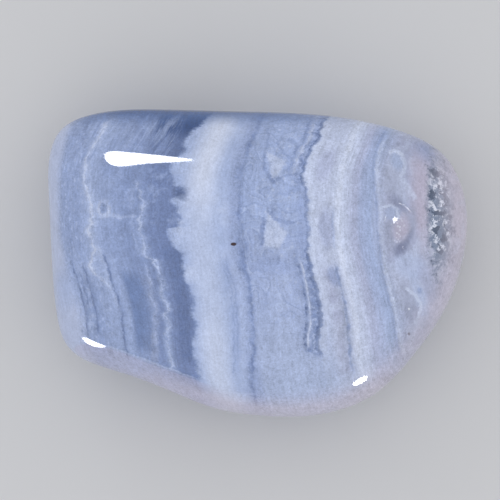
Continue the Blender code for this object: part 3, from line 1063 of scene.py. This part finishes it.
def lay_rims(stone):
    """Painted light and shade towards the rim: pink light showing through at the right, along the bottom
    and on the worn flat at the lower left, painted shade of deep blue where it is clear at the top, and
    a crisp pale painted highlight along the crease of that worn flat."""
    north = stone.north
    low_side = stone.up.inside(3.8, 7.2, 2.0)
    soft = stone.mottle * 0.6 + stone.drift * 0.6
    # Painted light: pink light coming up through the thin rim along the bottom, at the right end and at
    # the lower right corner.
    stone.paint(low_side * (north + soft).fall(-8.6, -6.4) * 0.75, SHELL_PINK)
    stone.paint(low_side * (stone.east + soft * 0.5).rise(10.6, 12.8) * 0.65, SHELL_PINK)
    corner = (stone.east * 0.77 - north * 0.64 + soft * 0.7).rise(9.7, 11.5)
    stone.paint(corner * stone.up.inside(3.8, 8.6, 2.0) * 0.55, SHELL_PINK)
    # Painted shade: the top rim is darkened to deep blue, and to nearly black-blue at its very edge.
    stone.paint(north.rise(8.9, 10.15) * stone.east.fall(2.0, 9.0) * 0.92, TOP_RIM_SHADE)
    stone.paint(north.rise(9.75, 10.3) * stone.east.fall(2.0, 9.0) * 0.85, TOP_EDGE_SHADE)
    bearing, rise, reach = FACETS[0][:3]
    flat_east, flat_north, flat_up = facing(bearing, rise)
    above_girdle = stone.up - GIRDLE_HEIGHT / MM
    proud = stone.east * flat_east + north * flat_north + above_girdle * flat_up
    proud = proud - reach / MM + stone.ruffle * 0.03
    # The worn flat below its crease, tinted pinkish lavender by the same painted light through the lower
    # rim.
    stone.paint(proud.rise(-0.16, -0.06) * stone.east.fall(-5.0, -1.0) * 0.6, ROSE_ASH)
    # Painted highlight: a crisp pale line along the crease where the worn flat meets the dome.
    stone.paint(proud.near(-0.15, 0.05) * stone.east.inside(-10.0, -4.6, 0.8) * 0.35, SNOW)
    hairline = (stone.up + soft * 0.7).inside(4.9, 5.2, 0.55) * stone.east.rise(4.0, 9.0)
    stone.paint(hairline * 0.5, MILK)


def new_finish(name, roughness):
    """A material of one roughness, and its shader."""
    material = bpy.data.materials.new(name)
    material.use_nodes = True
    shader = material.node_tree.nodes["Principled BSDF"]
    shader.inputs["Roughness"].default_value = roughness
    return material, shader


def polished_chalcedony():
    """Milky banded stone under a glassy tumbled polish."""
    material, shader = new_finish("polished_chalcedony", POLISH_ROUGHNESS)
    shader.inputs["IOR"].default_value = CHALCEDONY_IOR
    stone = Layers(material.node_tree)
    zones = [lay_ground, lay_left_end, lay_slate, lay_milk, lay_periwinkle, lay_ovals, lay_dark_lace]
    for lay in (*zones, lay_mauve_end, lay_rims, lay_texture):
        lay(stone)
    stone.tree.links.new(stone.colour, shader.inputs["Base Color"])
    return material


def pale_surface():
    """A plain pale matt floor, with the faintest mottle."""
    material, shader = new_finish("pale_floor", FLOOR_ROUGHNESS)
    tree = material.node_tree
    coordinate = tree.nodes.new("ShaderNodeTexCoord")
    mottle = cloud(tree, coordinate.outputs["Object"], 60.0, 3.0)
    colour = shade(tree, (*FLOOR_GREY, 1.0), 1.0 + mottle * 0.02)
    tree.links.new(colour, shader.inputs["Base Color"])
    return material


def lay_floor():
    """A wide flat sheet under the stone."""
    half = FLOOR_HALF_WIDTH
    corners = [(-half, -half, 0.0), (half, -half, 0.0), (half, half, 0.0), (-half, half, 0.0)]
    floor = new_piece("floor", corners, [(0, 1, 2, 3)])
    floor.data.materials.append(pale_surface())


# The camera looks straight down. At the girdle's height the picture is PICTURE_WIDTH across.
PICTURE_WIDTH = 33.37 * MM
PICTURE_CENTRE = (-0.5 * MM, 0.874 * MM)
CAMERA_DISTANCE = 0.4
SENSOR = 36.0


def set_camera():
    """Straight above the stone, framed by a long lens."""
    data = bpy.data.cameras.new("camera")
    data.sensor_width = SENSOR
    data.lens = SENSOR * CAMERA_DISTANCE / PICTURE_WIDTH
    data.clip_start = 0.01
    data.clip_end = 50.0
    camera = bpy.data.objects.new("camera", data)
    camera.location = (*PICTURE_CENTRE, GIRDLE_HEIGHT + CAMERA_DISTANCE)
    bpy.context.scene.collection.objects.link(camera)
    bpy.context.scene.camera = camera


# The lamps that the polish shows: name, bearing and height in degrees, width and depth in degrees as
# the stone sees them, and how far the right-hand end dips.
LAMPS = [
    ("long_north", 113.3, 30.8, 38.2, 16.0, 40.0),
    ("low_southwest", -136.4, 3.7, 31.6, 18.3, 15.9),
    ("low_southeast", -55.9, 5.1, 13.0, 10.7, 5.1),
    ("point_east", 17.0, 43.0, 1.7, 1.7, 0.0),
]
LAMP_DISTANCE = 0.6
LAMP_BRIGHTNESS = 25.0


def mirror_lamp(name, bearing, height, width, depth, dip):
    """An oval lamp turned to the stone, level but for its dip. Its power is brightness * pi * area.
    Only the polish shows it: the soft light is left to the studio."""
    dip = math.radians(dip)
    ray = Vector(facing(bearing, height))
    level = ray.cross(Vector((0.0, 0.0, 1.0))).normalized()
    upright = level.cross(ray)
    lengthwise = level * math.cos(dip) - upright * math.sin(dip)
    data = bpy.data.lights.new(name, "AREA")
    data.shape = "ELLIPSE"
    data.size = 2.0 * LAMP_DISTANCE * math.tan(math.radians(width) / 2.0)
    data.size_y = 2.0 * LAMP_DISTANCE * math.tan(math.radians(depth) / 2.0)
    data.energy = LAMP_BRIGHTNESS * math.pi * math.pi / 4.0 * data.size * data.size_y
    lamp = bpy.data.objects.new(name, data)
    turned = Matrix((lengthwise, ray.cross(lengthwise), ray)).transposed().to_4x4()
    lamp.matrix_world = Matrix.Translation(ray * LAMP_DISTANCE) @ turned
    lamp.visible_diffuse = False
    lamp.visible_camera = False
    bpy.context.scene.collection.objects.link(lamp)


def light_scene():
    """Soft light from all round and the small bright lamps that the polish shows as highlights."""
    world = bpy.data.worlds.new("studio")
    bpy.context.scene.world = world
    world.use_nodes = True
    background = world.node_tree.nodes["Background"]
    background.inputs["Color"].default_value = (*SKY_COLOUR, 1.0)
    background.inputs["Strength"].default_value = SKY_STRENGTH
    for lamp in LAMPS:
        mirror_lamp(*lamp)


pebble = stone_mesh()
pebble.data.materials.append(polished_chalcedony())
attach(pebble, "root")
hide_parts("chalcedony_pebble")
lay_floor()
set_camera()
light_scene()
bpy.context.scene.view_settings.view_transform = "Standard"
bpy.context.scene.view_settings.look = "None"
